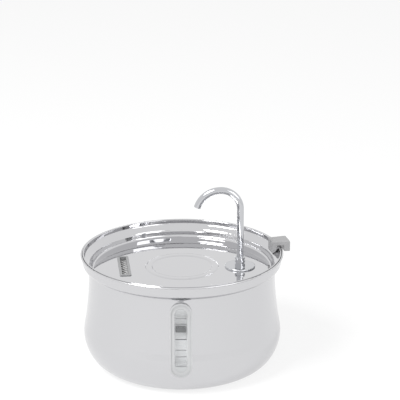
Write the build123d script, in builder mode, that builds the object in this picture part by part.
from build123d import *
import math
import os

os.makedirs("parts", exist_ok=True)

# A stainless pet water fountain: a spun bowl, a shallow drinking tray that nests in
# its rim, a swan-neck spout on the tray, and a small pump and a filter under it.
# Millimetres, +Z up.  The origin is the centre of the bowl's base on the table.
# The front, where the water gauge is, faces -Y.

# ------------------------------------------------------------------ driving sizes
sheet = 0.8                    # steel sheet of the bowl and the tray
part_gap = 0.3                 # space left between curved faces that meet
running_gap = 0.05             # space on the radius of a turning or sliding fit
seat_gap = 0.1                 # space left between flat parts fixed together

# Bowl: the outside line, from the base up
base_radius = 75.0
belly_bulge = 6.5              # how much wider the belly is than the neck
belly_height = 33.0
waist_bulge = 4.7              # how much wider the waist, where the wall turns, is
waist_height = 45.0
neck_radius = 94.6
neck_drop = 8.5                # from the start of the lip down to the neck
lip_flare = 6.2                # how much wider the lip starts than the neck
lip_drop = 8.5                 # from the rim down to the start of the lip
rim_flare = 0.9                # how much the lip opens from there to the rim
rim_height = 116.0
rim_bead_radius = 0.9
bowl_ring_inner = 29.5         # pressed ring in the floor
bowl_ring_outer = 40.5
bowl_ring_rise = 1.0
bowl_ring_ramp = 2.4

# Tray: measured on its underside
tray_depth = 16.5              # from its top edge to its floor
tray_corner = 2.8              # rounding between floor and wall
tray_wall_lean = 83.0          # angle of the wall, degrees from the floor
tray_step_lean = 24.0          # angle of the step, degrees from the floor
tray_step_drop = 7.6           # from the top edge down to the step
tray_neck_gap = 1.7            # how much narrower the tray's wall is than the bowl's neck
tray_bead_radius = 0.7
tray_ring_width = 7.6
tray_ring_clearance = 5.9      # from the pressed ring to the spout's flange
tray_ring_rise = 0.8
tray_ring_ramp = 1.8

# Water gauge in the front wall
gauge_width = 21.8
gauge_bottom = 23.2
gauge_drop = 18.2              # from the rim down to the top of the gauge
gauge_border = 1.5             # width of the raised border
gauge_border_proud = 2.6
gauge_plate_proud = 1.8
gauge_seal = 0.5
gauge_seal_inset = 0.8         # from the edge of the frame to the edge of the seal
window_clearance = 0.5         # around the channel, on each side of the hole in the wall
lens_fit = 0.1
lens_proud = 0.1
channel_lap = 0.2              # how much wider the channel is than the lens, on each side
channel_seat = 0.05
lens_width = 12.2
lens_margin = 5.6              # from the end of the gauge to the end of the lens
lens_thickness = 1.3
channel_depth = 3.4            # behind the inside of the wall
channel_wall = 1.2
channel_flange = 3.7
port_radius = 1.5
float_size = (10.4, 6.0, 2.0)
float_drop = 45.0              # from the rim down to the float
float_inset = -0.25            # from the outer face of the wall in to the front of the float
float_corner = 0.8

# Swan-neck spout and its fixing
pump_clearance = 4.3           # from the foam to the narrowest place of the bowl
spout_y = 0.0
pipe_radius = 3.5
pipe_wall = 0.9
spout_rise = 61.5              # from the tray floor to where the bend starts
near_bend = 19.5               # radius of the bend beside the upright
far_bend = 25.0                # radius of the bend beside the mouth
far_bend_angle = 70.0
mouth_length = 1.5
flange_radius = 15.5
flange_thickness = 1.6
collar_radius = 5.2
collar_height = 9.0
collar_step = 0.7
socket_depth = 6.0
stem_radius = 4.0
stem_bore = 2.3
stem_reach = 10.4              # below the tray's underside
stem_seal_radius = 8.0
stem_seal_thickness = 1.5
nut_flats = 14.0
nut_thickness = 3.5

# Bracket that hangs on the stem and holds the pump
bracket_turn = 8.0             # degrees about Z
bracket_half_width = 29.8
bracket_leg = 2.8
bracket_bar = 7.0
bracket_height = 52.5
bracket_depth = 10.0
bracket_corner = 9.0
bracket_inner_corner = 4.0
bracket_drop_gap = 0.2
hook_reach = 2.4
hook_height = 5.0
hook_tip = 1.2
hub_radius = 6.7
hub_clearance = 6.0            # from the pump's cap to the hub

# Pump
pump_radius = 23.2
pump_lift = 2.3                # from the hooks' underside to the pump's underside
foam_radius = 30.5
foam_height = 20.5
cap_height = 12.0
cap_facet = 18.0               # from the axis to the flat on the front of the cap
cap_facet_start = 2.2
cap_roof = 2.0
cap_edge = 0.8
tube_clearance = 3.5           # from the tube to the spout's stem
tube_bore = 2.2
tube_flange_radius = 6.0
tube_flange_thickness = 1.2
base_floor = 2.0
base_wall = 1.6
well_radius = 6.2
well_wall = 1.2
intake_slots = 12
intake_slot_width = 2.5
intake_slot_height = 9.0
stator_height = 10.0
volute_plate_thickness = 1.5
chamber_radius = 15.0
impeller_radius = 12.0
impeller_blades = 6
impeller_blade = 1.2
impeller_disc = 1.0
impeller_height = 5.0
magnet_radius = 5.0
shaft_radius = 0.75
shaft_end = 1.0                # how far the shaft stands out of the impeller
foam_edge = 1.2
gland_turn = -12.0             # degrees about Z
gland_radius = 2.2
gland_reach = 33.0
gland_height = 10.6            # above the pump's underside

# Cord clip on the rims
clip_turn = 13.0
clip_inset = 0.5               # from the tray's wall outwards to the inner leg
clip_outer_leg = 6.0
clip_slack = 3.2               # from the bowl's rolled edge to the outer leg
clip_width = 16.5
clip_roof = 4.2
clip_outer_drop = 6.4          # how far the outer leg hangs below the slot's roof
clip_edge = 0.8

# Filter under the tray
slot_length = 52.0
slot_width = 9.0
slot_turn = 6.5
slot_inset = 35.6              # from the bowl's neck to the middle of the slot
slot_y = 0.0
strainer_wall = 1.2
strainer_lip = 1.4
strainer_lip_thickness = 1.0
holder_offset = 12.5           # from the middle of the slot to the middle of the housing
holder_y = -3.0
holder_height = 20.0
holder_wall = 1.7
holder_lean = 2.2              # how much wider the holder is at its top
filter_width = 40.0
filter_straight = 42.0
filter_bulge = 18.0
filter_corner = 7.0
fit_gap = 0.3
cartridge_thickness = 9.5
cartridge_wall = 1.5
slat_pitch = 4.2
slat_width = 1.7
slat_thickness = 1.2
slat_turn = 45.0
cross_rib_width = 1.1
cross_rib_pitch = 17.0
cover_flange = 1.8
cover_dome = 8.0
cover_dome_inset = 3.4
cover_round = 3.2
cover_wall = 1.4
cover_slots = 5
cover_slot_width = 1.6
cover_slot_pitch = 5.0

# ------------------------------------------------------------------ worked-out places
lip_height = rim_height - lip_drop
neck_height = lip_height - neck_drop
gauge_top = rim_height - gauge_drop
float_height = rim_height - float_drop
belly_radius = neck_radius + belly_bulge
waist_radius = neck_radius + waist_bulge
waist_rise = neck_height - waist_height
waist_lean = 90 + 2 * math.degrees(math.atan2(waist_bulge, waist_rise))
waist_bend = (waist_rise ** 2 + waist_bulge ** 2) / (2 * waist_bulge)
lip_radius = neck_radius + lip_flare
rim_radius = lip_radius + rim_flare
narrowest = min(neck_radius, belly_radius)
spout_x = narrowest - sheet - foam_radius - pump_clearance
tray_ring_outer = spout_x - flange_radius - tray_ring_clearance
tray_ring_inner = tray_ring_outer - tray_ring_width
slot_x = slot_inset - neck_radius
holder_x = slot_x + holder_offset
tray_underside = rim_height - tray_depth - sheet
tray_floor = rim_height - tray_depth
lip_lean = math.degrees(math.atan2(rim_height - lip_height, rim_radius - lip_radius))
bracket_top = tray_underside - stem_seal_thickness - nut_thickness - bracket_drop_gap
pump_bottom = bracket_top - bracket_height + pump_lift
foam_top = pump_bottom + foam_height
cap_top = foam_top + cap_height
hub_height = bracket_top - cap_top - hub_clearance
tube_length = tray_underside - stem_reach - cap_top - tube_clearance
holder_top = tray_underside - seat_gap
holder_bottom = holder_top - holder_height
cartridge_top = holder_top - holder_wall - fit_gap
cartridge_bottom = cartridge_top - cartridge_thickness
spout_plane = Plane((spout_x, spout_y, 0))


def level(height):
    """Horizontal plane through the pump and spout axis at a height."""
    return spout_plane.offset(height)


# ------------------------------------------------------------------ helpers
def heading(angle):
    """Unit direction in a section: 0 runs outwards, 90 runs up."""
    return Vector(math.cos(math.radians(angle)), math.sin(math.radians(angle)))


def halfway(start, start_heading, end, end_heading):
    """Point and heading where two arcs that join two stations meet."""
    across = end - start
    both = start_heading + end_heading
    spread = 1 - start_heading.dot(end_heading)
    if spread < 1e-9:
        reach = across.dot(across) / (4 * across.dot(start_heading))
    else:
        root = math.sqrt(across.dot(both) ** 2 + 2 * spread * across.dot(across))
        reach = (root - across.dot(both)) / (2 * spread)
    point = (start + end + (start_heading - end_heading) * reach) * 0.5
    chord = (point - start).normalized()
    return point, chord * (2 * chord.dot(start_heading)) - start_heading


def draw_sheet_line(stations, shift):
    """Draw a smooth line through stations of (radius, height, heading), moved sideways.

    A positive shift moves the line to the left of its travel, so every line drawn from
    the same stations runs parallel to the others.  It gives back its two ends.
    """
    ends = []
    for (r0, z0, a0), (r1, z1, a1) in zip(stations, stations[1:]):
        start, start_heading = Vector(r0, z0), heading(a0)
        end, end_heading = Vector(r1, z1), heading(a1)
        side_start = Vector(-start_heading.Y, start_heading.X) * shift
        side_end = Vector(-end_heading.Y, end_heading.X) * shift
        chord = (end - start).normalized()
        straight = chord.dot(start_heading) > 1 - 1e-6 and chord.dot(end_heading) > 1 - 1e-6
        if straight:
            Line(start + side_start, end + side_end)
        else:
            middle, turn = halfway(start, start_heading, end, end_heading)
            side_middle = Vector(-turn.Y, turn.X) * shift
            TangentArc(start + side_start, middle + side_middle, tangent=start_heading)
            TangentArc(middle + side_middle, end + side_end, tangent=turn)
        ends = ends or [start + side_start]
        last = end + side_end
    return ends[0], last


def band(stations, low, high):
    """Face between two parallel lines through the same stations."""
    with BuildLine() as outline:
        low_start, low_end = draw_sheet_line(stations, low)
        high_start, high_end = draw_sheet_line(stations, high)
        Line(low_start, high_start)
        Line(low_end, high_end)
    make_face(outline.edges())


def pressed_ring(inner, outer, ramp, rise, height):
    """Stations of a ring pressed up into a flat floor."""
    return [(inner, height, 0), (inner + ramp, height + rise, 0),
            (outer - ramp, height + rise, 0), (outer, height, 0)]


def save(piece, name):
    """Label a finished piece and write it to its own file."""
    piece.part.label = name
    export_step(piece.part, f"parts/{name}.step")


# ------------------------------------------------------------------ bowl
bowl_stations = (
    [(0, 0, 0)]
    + pressed_ring(bowl_ring_inner, bowl_ring_outer, bowl_ring_ramp, bowl_ring_rise, 0)
    + [(base_radius, 0, 0), (belly_radius, belly_height, 90),
       (waist_radius, waist_height, waist_lean), (neck_radius, neck_height, 90),
       (lip_radius, lip_height, lip_lean), (rim_radius, rim_height - rim_bead_radius, lip_lean)]
)
bowl_lip = bowl_stations[-1]
wall_stations = bowl_stations[5:]
gauge_height = gauge_top - gauge_bottom
gauge_middle = (gauge_top + gauge_bottom) / 2
lens_height = gauge_height - 2 * lens_margin
channel_width = lens_width + 2 * channel_lap
channel_height = lens_height + 2 * channel_lap
window_width = channel_width + 2 * window_clearance
window_height = channel_height + 2 * window_clearance


def gauge_prism(width, height, mode):
    """Stadium-shaped prism through the front wall."""
    with BuildSketch(Plane.XZ.offset(neck_radius / 2)) as stadium:
        with Locations((0, gauge_middle)):
            SlotOverall(height, width, rotation=90)
    extrude(stadium.sketch, amount=neck_radius, mode=mode)


with BuildPart() as bowl:
    with BuildSketch(Plane.XZ):
        band(bowl_stations, 0, sheet)
    revolve(axis=Axis.Z)
    # Edge rolled outwards
    with BuildSketch(Plane.XZ):
        with Locations((bowl_lip[0] + rim_bead_radius - sheet, bowl_lip[1])):
            Circle(rim_bead_radius)
    revolve(axis=Axis.Z)
    gauge_prism(window_width, window_height, Mode.SUBTRACT)
save(bowl, "bowl")

# ------------------------------------------------------------------ water gauge
with BuildPart() as gauge_seal_ring:
    with BuildSketch(Plane.XZ):
        band(wall_stations, -gauge_seal, 0)
    revolve(axis=Axis.Z)
    gauge_prism(
        gauge_width - 2 * gauge_seal_inset, gauge_height - 2 * gauge_seal_inset, Mode.INTERSECT
    )
    gauge_prism(window_width, window_height, Mode.SUBTRACT)
save(gauge_seal_ring, "gauge_seal")

with BuildPart() as gauge_field:
    with BuildSketch(Plane.XZ):
        band(wall_stations, -gauge_plate_proud, -gauge_seal)
    revolve(axis=Axis.Z)
    gauge_prism(gauge_width - gauge_border, gauge_height - gauge_border, Mode.INTERSECT)

with BuildPart() as gauge_frame:
    with BuildSketch(Plane.XZ):
        band(wall_stations, -gauge_border_proud, -gauge_seal)
    revolve(axis=Axis.Z)
    gauge_prism(gauge_width, gauge_height, Mode.INTERSECT)
    gauge_prism(gauge_width - 2 * gauge_border, gauge_height - 2 * gauge_border, Mode.SUBTRACT)
    add(gauge_field.part)
    gauge_prism(lens_width + 2 * lens_fit, lens_height + 2 * lens_fit, Mode.SUBTRACT)
save(gauge_frame, "gauge_frame")

lens_face = -gauge_plate_proud - lens_proud
with BuildPart() as gauge_lens:
    with BuildSketch(Plane.XZ):
        band(wall_stations, lens_face, lens_face + lens_thickness)
    revolve(axis=Axis.Z)
    gauge_prism(lens_width, lens_height, Mode.INTERSECT)
save(gauge_lens, "gauge_lens")

channel_back = sheet + channel_depth
with BuildPart() as channel_space:
    with BuildSketch(Plane.XZ):
        band(wall_stations, 0, channel_back)
    revolve(axis=Axis.Z)
    gauge_prism(channel_width, channel_height, Mode.INTERSECT)

with BuildPart() as channel_pan:
    with BuildSketch(Plane.XZ):
        band(wall_stations, sheet + channel_seat, channel_back + channel_wall)
    revolve(axis=Axis.Z)
    gauge_prism(channel_width + 2 * channel_wall, channel_height + 2 * channel_wall, Mode.INTERSECT)

with BuildPart() as gauge_channel:
    with BuildSketch(Plane.XZ):
        band(wall_stations, sheet + channel_seat, sheet + channel_wall)
    revolve(axis=Axis.Z)
    gauge_prism(channel_width + 2 * channel_flange, channel_height + 2 * channel_flange, Mode.INTERSECT)
    add(channel_pan.part)
    add(channel_space.part, mode=Mode.SUBTRACT)
    # Two ports let the water into the channel
    with BuildSketch(Plane.XZ.offset(neck_radius / 2)):
        with GridLocations(1, channel_height - 4 * port_radius, 1, 2):
            with Locations((0, gauge_middle)):
                Circle(port_radius)
    extrude(amount=neck_radius, mode=Mode.SUBTRACT)
save(gauge_channel, "gauge_channel")

float_dip = neck_height - float_height
float_lean = math.asin(float_dip / waist_bend)
float_out = Vector(0, -math.cos(float_lean), math.sin(float_lean))
float_wall = neck_radius + waist_bend * (1 - math.cos(float_lean))
float_face = Plane(
    origin=(0, float_inset - float_wall, float_height), x_dir=(1, 0, 0), z_dir=float_out
)
with BuildPart() as level_float:
    with BuildSketch(float_face):
        RectangleRounded(float_size[0], float_size[1], float_corner)
    extrude(amount=-float_size[2])
save(level_float, "level_float")

# ------------------------------------------------------------------ tray
tray_top_radius = rim_radius - sheet - part_gap
tray_wall_radius = neck_radius - tray_neck_gap
tray_lip_slope = 1 / math.tan(math.radians(lip_lean))
tray_step_width = tray_top_radius - tray_step_drop * tray_lip_slope - tray_wall_radius
tray_lip_bottom = rim_height - tray_step_drop + tray_step_width / 2
tray_lip_radius = tray_top_radius - (rim_height - tray_lip_bottom) * tray_lip_slope
tray_wall_top = rim_height - tray_step_drop - tray_step_width / 2
tray_wall_bottom = tray_underside + tray_corner
tray_wall_foot = tray_wall_radius - (tray_wall_top - tray_wall_bottom) / math.tan(
    math.radians(tray_wall_lean)
)
tray_floor_radius = tray_wall_foot - tray_corner
tray_stations = (
    [(0, tray_underside, 0)]
    + pressed_ring(tray_ring_inner, tray_ring_outer, tray_ring_ramp, tray_ring_rise, tray_underside)
    + [(tray_floor_radius, tray_underside, 0),
       (tray_wall_foot, tray_wall_bottom, tray_wall_lean),
       (tray_wall_radius, tray_wall_top, tray_wall_lean),
       ((tray_wall_radius + tray_lip_radius) / 2, rim_height - tray_step_drop, tray_step_lean),
       (tray_lip_radius, tray_lip_bottom, lip_lean),
       (tray_top_radius, rim_height, lip_lean)]
)
slot_place = Location((slot_x, slot_y), slot_turn)

with BuildPart() as tray:
    with BuildSketch(Plane.XZ):
        band(tray_stations, 0, sheet)
        with Locations((tray_top_radius - tray_bead_radius, rim_height - tray_bead_radius / 2)):
            Circle(tray_bead_radius)
    revolve(axis=Axis.Z)
    with BuildSketch(Plane.XY.offset(tray_underside)):
        with Locations((spout_x, spout_y)):
            Circle(stem_radius + part_gap)
        with Locations(slot_place):
            Rectangle(slot_width, slot_length)
    extrude(amount=2 * sheet, both=True, mode=Mode.SUBTRACT)
save(tray, "tray")

# ------------------------------------------------------------------ strainer in the tray floor
strainer_width = slot_width - 2 * seat_gap
strainer_length = slot_length - 2 * seat_gap
with BuildPart() as strainer:
    with BuildSketch(Plane.XY.offset(tray_floor)):
        with Locations(slot_place):
            RectangleRounded(
                strainer_width + 2 * strainer_lip, strainer_length + 2 * strainer_lip, strainer_lip
            )
    extrude(amount=strainer_lip_thickness)
    chamfer(faces().sort_by(Axis.Z)[-1].edges(), strainer_lip_thickness / 3)
    with BuildSketch(Plane.XY.offset(tray_floor)):
        with Locations(slot_place):
            Rectangle(strainer_width, strainer_length)
    extrude(amount=-(tray_floor - holder_top) - holder_wall)
    with BuildSketch(Plane.XY.offset(tray_floor + strainer_lip_thickness)):
        with Locations(slot_place):
            Rectangle(strainer_width - 2 * strainer_wall, strainer_length - 2 * strainer_wall)
    extrude(amount=-holder_height, mode=Mode.SUBTRACT)
save(strainer, "strainer")


# ------------------------------------------------------------------ filter housing and cartridge
def filter_outline(grow, plane):
    """D-shaped outline with a straight back and a bulging front, grown by an amount."""
    half = filter_width / 2 + grow
    back = filter_straight / 2 + grow
    corner = filter_corner + grow
    with BuildSketch(plane, mode=Mode.PRIVATE) as outline:
        with BuildLine():
            Line((-half, -back + grow), (-half, back))
            Line((-half, back), (half, back))
            Line((half, back), (half, -back + grow))
            ThreePointArc((half, -back + grow), (0, -back - filter_bulge), (-half, -back + grow))
        make_face()
        fillet(outline.vertices(), corner)
    return outline.sketch


filter_plane = Plane((holder_x, holder_y + filter_bulge / 2, 0))


def filter_level(height):
    """Horizontal plane of the filter at a height."""
    return filter_plane.offset(height)


with BuildPart() as filter_holder:
    # The outside leans in towards the mouth
    mouth = filter_outline(holder_wall, filter_level(holder_bottom))
    root = filter_outline(holder_wall + holder_lean, filter_level(holder_top))
    loft([mouth.face(), root.face()])
    cavity = filter_outline(0, filter_level(holder_bottom))
    extrude(cavity, amount=holder_height - holder_wall, mode=Mode.SUBTRACT)
    with BuildSketch(Plane.XY.offset(holder_top)):
        with Locations(slot_place):
            Rectangle(slot_width, slot_length)
    extrude(amount=-2 * holder_wall, mode=Mode.SUBTRACT)
save(filter_holder, "filter_holder")


def slats(plane, thickness):
    """Slanting slats with two cross ribs, trimmed to the inside of the cartridge."""
    reach = filter_width + filter_straight
    with BuildPart(mode=Mode.PRIVATE) as grid:
        with BuildSketch(plane):
            with Locations(Location((0, 0), slat_turn)):
                with GridLocations(slat_pitch, 1, int(reach / slat_pitch), 1):
                    Rectangle(slat_width, reach)
                with GridLocations(1, cross_rib_pitch, 1, 2):
                    Rectangle(reach, cross_rib_width)
        extrude(amount=thickness)
        inside = filter_outline(-fit_gap - cartridge_wall / 2, plane)
        extrude(inside, amount=thickness, mode=Mode.INTERSECT)
    return grid.part


with BuildPart() as cartridge_frame:
    shell = filter_outline(-fit_gap, filter_level(cartridge_bottom))
    extrude(shell, amount=cartridge_thickness - slat_thickness)
    hollow = filter_outline(-fit_gap - cartridge_wall, filter_level(cartridge_bottom))
    extrude(hollow, amount=cartridge_thickness, mode=Mode.SUBTRACT)
    add(slats(filter_level(cartridge_bottom), slat_thickness))
save(cartridge_frame, "cartridge_frame")

with BuildPart() as cartridge_lid:
    edge = filter_outline(-fit_gap, filter_level(cartridge_top))
    extrude(edge, amount=-slat_thickness)
    window = filter_outline(-fit_gap - cartridge_wall, filter_level(cartridge_top))
    extrude(window, amount=-slat_thickness, mode=Mode.SUBTRACT)
    add(slats(filter_level(cartridge_top - slat_thickness), slat_thickness))
save(cartridge_lid, "cartridge_lid")

with BuildPart() as carbon_media:
    block = filter_outline(-2 * fit_gap - cartridge_wall, filter_level(cartridge_bottom + slat_thickness))
    extrude(block, amount=cartridge_thickness - 2 * slat_thickness)
save(carbon_media, "carbon_media")

with BuildPart() as filter_cover:
    flange = filter_outline(holder_wall, filter_level(holder_bottom - cover_flange))
    extrude(flange, amount=cover_flange)
    fillet(edges().group_by(Axis.Z)[0], cover_flange / 3)
    dome = filter_outline(-cover_dome_inset, filter_level(holder_bottom))
    extrude(dome, amount=cover_dome)
    fillet(faces().sort_by(Axis.Z)[-1].edges(), cover_round)
    # Hollow from below
    hollow = filter_outline(
        -cover_dome_inset - cover_wall, filter_level(holder_bottom - cover_flange)
    )
    extrude(hollow, amount=cover_flange + cover_dome - cover_wall, mode=Mode.SUBTRACT)
    # Water leaves through a row of slots in the back of the dome
    with BuildSketch(Plane.XZ.offset(-holder_y - filter_bulge / 2 - filter_straight)):
        with Locations((holder_x, holder_bottom + cover_dome / 2 - 1)):
            with GridLocations(cover_slot_pitch, 1, cover_slots, 1):
                Rectangle(cover_slot_width, cover_dome / 2)
    extrude(amount=filter_straight, mode=Mode.SUBTRACT)
save(filter_cover, "filter_cover")

# ------------------------------------------------------------------ spout
spout_foot = tray_floor + flange_thickness + collar_height - socket_depth
bend_height = tray_floor + spout_rise
with BuildPart() as gooseneck:
    with BuildLine(Plane.XZ.offset(-spout_y)) as spout_path:
        upright = Line((spout_x, spout_foot), (spout_x, bend_height))
        near = JernArc(upright @ 1, (0, 1), near_bend, 90)
        far = JernArc(near @ 1, (-1, 0), far_bend, far_bend_angle)
        Line(far @ 1, (far @ 1) + (far % 1) * mouth_length)
    with BuildSketch(level(spout_foot)):
        Circle(pipe_radius)
        Circle(pipe_radius - pipe_wall, mode=Mode.SUBTRACT)
    sweep(path=spout_path.wires()[0])
save(gooseneck, "gooseneck")

with BuildPart() as spout_flange:
    with BuildSketch(level(tray_floor)):
        Circle(flange_radius)
    extrude(amount=flange_thickness)
    fillet(edges().group_by(Axis.Z)[-1], flange_thickness / 2)
    with BuildSketch(level(tray_floor)):
        Circle(stem_radius + running_gap)
    extrude(amount=flange_thickness, mode=Mode.SUBTRACT)
save(spout_flange, "spout_flange")

collar_bottom = tray_floor + flange_thickness
with BuildPart() as collar:
    # A turned collar with two waists
    ring = collar_height / 5
    with BuildSketch(level(collar_bottom)):
        Circle(collar_radius)
    extrude(amount=collar_height)
    for waist in (1, 3):
        with BuildSketch(level(collar_bottom + waist * ring)):
            Circle(collar_radius * 2)
            Circle(collar_radius - collar_step, mode=Mode.SUBTRACT)
        extrude(amount=ring, mode=Mode.SUBTRACT)
    chamfer(edges().group_by(Axis.Z)[-1], collar_step / 2)
    with BuildSketch(level(collar_bottom + collar_height)):
        Circle(pipe_radius + running_gap)
    extrude(amount=-socket_depth, mode=Mode.SUBTRACT)
    with BuildSketch(level(collar_bottom)):
        Circle(stem_bore)
    extrude(amount=collar_height, mode=Mode.SUBTRACT)
save(collar, "spout_collar")

with BuildPart() as stem:
    with BuildSketch(level(tray_underside - stem_reach)):
        Circle(stem_radius)
        Circle(stem_bore, mode=Mode.SUBTRACT)
    extrude(amount=collar_bottom - tray_underside + stem_reach)
save(stem, "spout_stem")

with BuildPart() as stem_seal:
    with BuildSketch(level(tray_underside - stem_seal_thickness)):
        Circle(stem_seal_radius)
        Circle(stem_radius + running_gap, mode=Mode.SUBTRACT)
    extrude(amount=stem_seal_thickness)
save(stem_seal, "stem_seal")

with BuildPart() as stem_nut:
    with BuildSketch(level(tray_underside - stem_seal_thickness - nut_thickness)):
        RegularPolygon(nut_flats / 2, 6, major_radius=False)
        Circle(stem_radius + running_gap, mode=Mode.SUBTRACT)
    extrude(amount=nut_thickness)
save(stem_nut, "stem_nut")

# ------------------------------------------------------------------ bracket
turn = math.radians(bracket_turn)
bracket_plane = Plane(
    origin=(spout_x, spout_y, 0),
    x_dir=(math.cos(turn), math.sin(turn), 0),
    z_dir=(math.sin(turn), -math.cos(turn), 0),
)
bracket_bottom = bracket_top - bracket_height
leg_inner = bracket_half_width - bracket_leg
with BuildPart() as bracket:
    with BuildSketch(bracket_plane) as arch:
        with BuildLine():
            Polyline(
                (-bracket_half_width, bracket_bottom),
                (-bracket_half_width, bracket_top),
                (bracket_half_width, bracket_top),
                (bracket_half_width, bracket_bottom),
                (leg_inner - hook_tip / 2, bracket_bottom),
                (leg_inner - hook_reach, bracket_bottom + hook_tip),
                (leg_inner, bracket_bottom + hook_height),
                (leg_inner, bracket_top - bracket_bar),
                (-leg_inner, bracket_top - bracket_bar),
                (-leg_inner, bracket_bottom + hook_height),
                (-leg_inner + hook_reach, bracket_bottom + hook_tip),
                (-leg_inner + hook_tip / 2, bracket_bottom),
                close=True,
            )
        make_face()
        fillet(arch.vertices().group_by(Axis.Y)[-1], bracket_corner)
        bar_underside = bracket_top - bracket_bar
        inner = arch.vertices().filter_by_position(Axis.Y, bar_underside - 0.1, bar_underside + 0.1)
        fillet(inner, bracket_inner_corner)
    extrude(amount=bracket_depth / 2, both=True)
    with BuildSketch(level(bracket_top)):
        Circle(hub_radius)
    extrude(amount=-hub_height)
    with BuildSketch(level(bracket_top)):
        Circle(stem_radius + running_gap)
    extrude(amount=-hub_height, mode=Mode.SUBTRACT)
save(bracket, "pump_bracket")

# ------------------------------------------------------------------ pump
chamber_top = cap_top - cap_roof
with BuildPart() as pump_cap:
    with BuildSketch(level(foam_top)):
        Circle(pump_radius)
    extrude(amount=cap_height)
    # Flat on the front, above a round foot
    with BuildSketch(level(foam_top + cap_facet_start)):
        with Locations((0, -cap_facet)):
            Rectangle(2 * pump_radius, pump_radius, align=(Align.CENTER, Align.MAX))
    extrude(amount=cap_height, mode=Mode.SUBTRACT)
    fillet(edges().group_by(Axis.Z)[-1], cap_edge)
    with BuildSketch(level(foam_top)):
        Circle(chamber_radius)
    extrude(amount=cap_height - cap_roof, mode=Mode.SUBTRACT)
    with BuildSketch(level(foam_top)):
        Circle(pipe_radius + running_gap)
    extrude(amount=cap_height, mode=Mode.SUBTRACT)
save(pump_cap, "pump_cap")

with BuildPart() as outlet_tube:
    with BuildSketch(level(chamber_top - tube_flange_thickness)):
        Circle(tube_flange_radius)
    extrude(amount=tube_flange_thickness)
    with BuildSketch(level(chamber_top)):
        Circle(pipe_radius)
    extrude(amount=cap_roof + tube_length)
    with BuildSketch(level(chamber_top - tube_flange_thickness)):
        Circle(tube_bore)
    extrude(amount=tube_flange_thickness + cap_roof + tube_length, mode=Mode.SUBTRACT)
save(outlet_tube, "outlet_tube")

plate_top = foam_top - part_gap
plate_bottom = plate_top - volute_plate_thickness
well_top = plate_bottom - part_gap
gland_plane = Plane(
    origin=(spout_x, spout_y, pump_bottom + gland_height),
    z_dir=(math.cos(math.radians(gland_turn)), math.sin(math.radians(gland_turn)), 0),
)
with BuildPart() as pump_base:
    with BuildSketch(level(pump_bottom)):
        Circle(pump_radius)
    extrude(amount=foam_height)
    with BuildSketch(level(pump_bottom + base_floor)):
        Circle(pump_radius - base_wall)
    extrude(amount=foam_height, mode=Mode.SUBTRACT)
    # Rotor well
    with BuildSketch(level(pump_bottom + base_floor)):
        Circle(well_radius + well_wall)
        Circle(well_radius, mode=Mode.SUBTRACT)
    extrude(amount=well_top - pump_bottom - base_floor)
    # Ledge that carries the volute plate
    with BuildSketch(level(plate_bottom)):
        Circle(pump_radius - base_wall)
        Circle(pump_radius - 2 * base_wall, mode=Mode.SUBTRACT)
    extrude(amount=-base_wall)
    # Boss that holds the shaft
    with BuildSketch(level(pump_bottom + base_floor)):
        Circle(2 * shaft_radius)
    extrude(amount=base_floor / 2)
    with BuildSketch(level(pump_bottom + base_floor / 2)):
        Circle(shaft_radius)
    extrude(amount=base_floor * 2, mode=Mode.SUBTRACT)
    # Intake slots behind the foam
    for index in range(intake_slots):
        slot_angle = math.radians(360 / intake_slots * (index + 0.5) + gland_turn)
        slot_side = Plane(
            origin=(spout_x, spout_y, pump_bottom + foam_height / 2 + base_floor / 2),
            z_dir=(math.cos(slot_angle), math.sin(slot_angle), 0),
            x_dir=(-math.sin(slot_angle), math.cos(slot_angle), 0),
        )
        with BuildSketch(slot_side.offset(pump_radius - 2 * base_wall)):
            Rectangle(intake_slot_width, intake_slot_height)
        extrude(amount=3 * base_wall, mode=Mode.SUBTRACT)
    with BuildSketch(gland_plane):
        Circle(gland_radius + running_gap)
    extrude(amount=pump_radius + base_wall, mode=Mode.SUBTRACT, dir=gland_plane.z_dir)
save(pump_base, "pump_base")

with BuildPart() as volute_plate:
    with BuildSketch(level(plate_bottom)):
        Circle(pump_radius - base_wall - part_gap)
        Circle(magnet_radius + part_gap, mode=Mode.SUBTRACT)
    extrude(amount=volute_plate_thickness)
save(volute_plate, "volute_plate")

stator_bottom = pump_bottom + base_floor
with BuildPart() as stator:
    with BuildSketch(level(stator_bottom)):
        Circle(pump_radius - base_wall - 3 * gland_radius / 2)
        Circle(well_radius + well_wall + part_gap, mode=Mode.SUBTRACT)
    extrude(amount=stator_height)
    with BuildSketch(gland_plane):
        Circle(gland_radius + part_gap)
    extrude(amount=pump_radius, mode=Mode.SUBTRACT)
save(stator, "stator")

magnet_bottom = pump_bottom + base_floor * 1.5 + part_gap
magnet_top = plate_bottom - part_gap
with BuildPart() as rotor_magnet:
    with BuildSketch(level(magnet_bottom)):
        Circle(magnet_radius)
        Circle(shaft_radius + running_gap, mode=Mode.SUBTRACT)
    extrude(amount=magnet_top - magnet_bottom)
save(rotor_magnet, "rotor_magnet")

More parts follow.
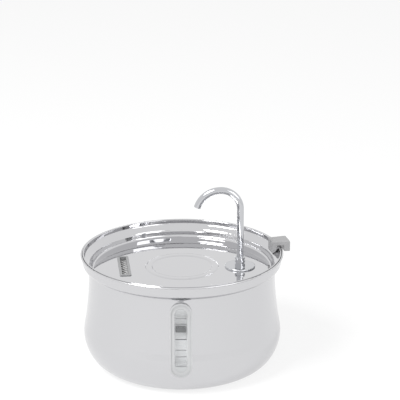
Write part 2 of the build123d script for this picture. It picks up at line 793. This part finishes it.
impeller_bottom = foam_top + part_gap
with BuildPart() as impeller:
    with BuildSketch(level(magnet_top)):
        Circle(magnet_radius / 2)
    extrude(amount=impeller_bottom + impeller_height - magnet_top)
    with BuildSketch(level(impeller_bottom)):
        Circle(impeller_radius)
    extrude(amount=impeller_disc)
    # Blades that curve back from the hub
    with BuildSketch(level(impeller_bottom + impeller_disc)):
        with PolarLocations(0, impeller_blades):
            with BuildLine():
                curve = ThreePointArc(
                    (magnet_radius / 3, 0),
                    (impeller_radius * 0.6, impeller_radius * 0.16),
                    (impeller_radius * 0.93, impeller_radius * 0.01),
                )
                offset(curve, amount=impeller_blade / 2)
            make_face()
    extrude(amount=impeller_height - impeller_disc)
    with BuildSketch(level(magnet_top)):
        Circle(shaft_radius + running_gap)
    extrude(amount=impeller_height * 4, mode=Mode.SUBTRACT)
save(impeller, "impeller")

shaft_bottom = pump_bottom + base_floor / 2
with BuildPart() as shaft:
    with BuildSketch(level(shaft_bottom)):
        Circle(shaft_radius)
    extrude(amount=impeller_bottom + impeller_height + shaft_end - shaft_bottom)
save(shaft, "rotor_shaft")

with BuildPart() as gland:
    with BuildSketch(gland_plane.offset(pump_radius - base_wall * 2)):
        Circle(gland_radius)
    extrude(amount=gland_reach - pump_radius + base_wall * 2)
    chamfer(edges().sort_by(Axis.X)[-1], gland_radius / 4)
save(gland, "cord_gland")

foam_inner = pump_radius + part_gap
groove_inner = leg_inner - hook_reach - part_gap
with BuildPart() as foam_sleeve:
    with BuildSketch(level(pump_bottom)):
        Circle(foam_radius)
        Circle(foam_inner, mode=Mode.SUBTRACT)
        # Grooves where the bracket's legs press the foam in
        with Locations(Location((0, 0), bracket_turn)):
            for side in (-1, 1):
                with Locations((side * (groove_inner + foam_radius / 2), 0)):
                    Rectangle(foam_radius, bracket_depth + 2 * part_gap, mode=Mode.SUBTRACT)
    extrude(amount=foam_height)
    fillet(edges().filter_by(GeomType.CIRCLE).filter_by(lambda e: e.radius > foam_inner + foam_edge), foam_edge)
    with BuildSketch(gland_plane):
        Circle(gland_radius + part_gap)
    extrude(amount=2 * foam_radius, mode=Mode.SUBTRACT)
save(foam_sleeve, "foam_sleeve")

# ------------------------------------------------------------------ cord clip
# The clip stands on the tray's step and curves with the rims
clip_spread = math.degrees(clip_width / tray_top_radius)
clip_start = math.radians(clip_turn - clip_spread / 2)
clip_plane = Plane(
    origin=(0, 0, 0),
    x_dir=(math.cos(clip_start), math.sin(clip_start), 0),
    z_dir=(math.sin(clip_start), -math.cos(clip_start), 0),
)
slot_roof = rim_height + tray_bead_radius / 2 + part_gap
clip_top = slot_roof + clip_roof
slot_inner = tray_top_radius - 2 * tray_bead_radius - part_gap
clip_inner = tray_wall_radius + clip_inset
clip_foot = rim_height - tray_step_drop
step_middle = (tray_wall_radius + tray_lip_radius) / 2
clip_slot_outer = rim_radius + 2 * rim_bead_radius - sheet + clip_slack
clip_outer = clip_slot_outer + clip_outer_leg
with BuildPart() as cord_clip:
    with BuildSketch(clip_plane):
        with BuildLine():
            Polyline(
                (clip_inner, clip_foot),
                (step_middle - part_gap, clip_foot + sheet + 2 * part_gap),
                (slot_inner - part_gap, tray_lip_bottom + sheet + 2 * part_gap),
                (slot_inner, slot_roof),
                (clip_slot_outer, slot_roof),
                (clip_slot_outer, slot_roof - clip_outer_drop),
                (clip_outer, slot_roof - clip_outer_drop),
                (clip_outer, clip_top),
                (clip_inner, clip_top),
                close=True,
            )
        make_face()
    revolve(axis=Axis.Z, revolution_arc=clip_spread)
    fillet(edges().group_by(Axis.Z)[-1], clip_edge)
save(cord_clip, "cord_clip")
